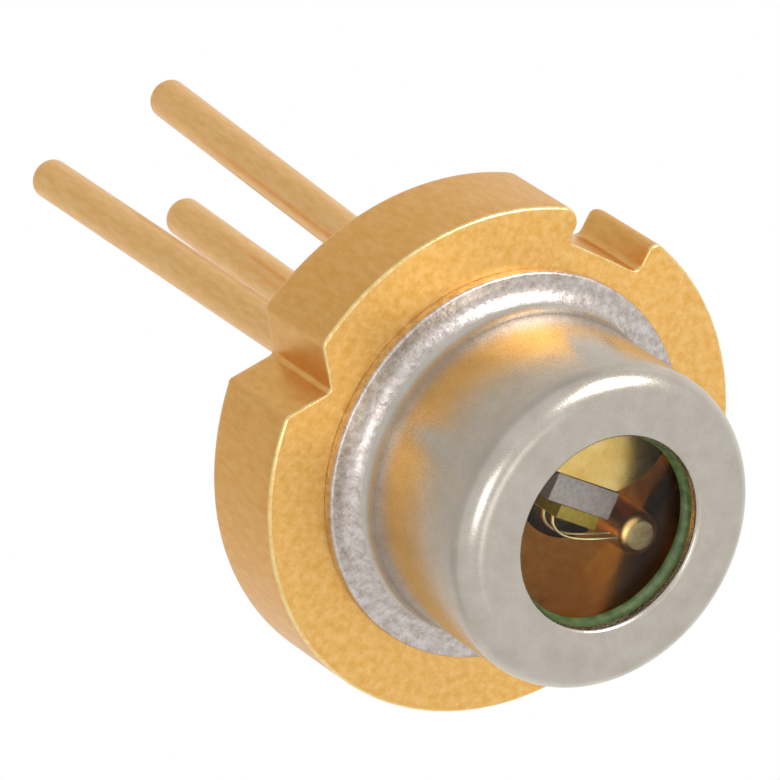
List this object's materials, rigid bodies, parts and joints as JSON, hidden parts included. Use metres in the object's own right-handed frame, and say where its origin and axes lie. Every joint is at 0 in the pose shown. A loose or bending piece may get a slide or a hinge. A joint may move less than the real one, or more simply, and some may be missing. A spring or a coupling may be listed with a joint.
{
  "type": "laser diode",
  "caption": "Laser diode in a round metal can: a notched gold stem, a nickel cap with a sealed glass window, and three gold leads.",
  "frame": {"origin": "centre of the stem's front face, the reference face that the cap stands on", "axes": "+Z along the beam, out through the window; leads run back along -Z; +Y towards the key notch"},
  "size_m": [0.0056, 0.0056, 0.0104],
  "materials": {
    "stem_gold": "gold-plated steel, matte",
    "sink_gold": "gold-plated copper, satin",
    "lead_gold": "gold-plated iron-nickel alloy, satin",
    "wire_gold": "gold wire, bright",
    "braze": "silver braze, gold-plated",
    "cap_nickel": "nickel-plated steel, satin",
    "window_glass": "clear coated glass",
    "solder_glass": "green solder glass",
    "seal_glass": "dark sealing glass",
    "submount_ceramic": "grey nitride ceramic",
    "laser_chip": "coated semiconductor crystal",
    "photodiode": "polished silicon"
  },
  "bodies": {
    "root": {"stem": "stem_gold", "heat_sink": "sink_gold", "submount": "submount_ceramic", "laser_chip": "laser_chip", "monitor_photodiode": "photodiode", "laser_lead": "lead_gold", "monitor_lead": "lead_gold", "common_lead": "lead_gold", "laser_lead_glass": "seal_glass", "monitor_lead_glass": "seal_glass", "common_lead_braze": "braze", "cap": "cap_nickel", "window": "window_glass", "window_seal": "solder_glass", "laser_bond_wires": "wire_gold", "monitor_bond_wire": "wire_gold"}
  },
  "joints": []
}
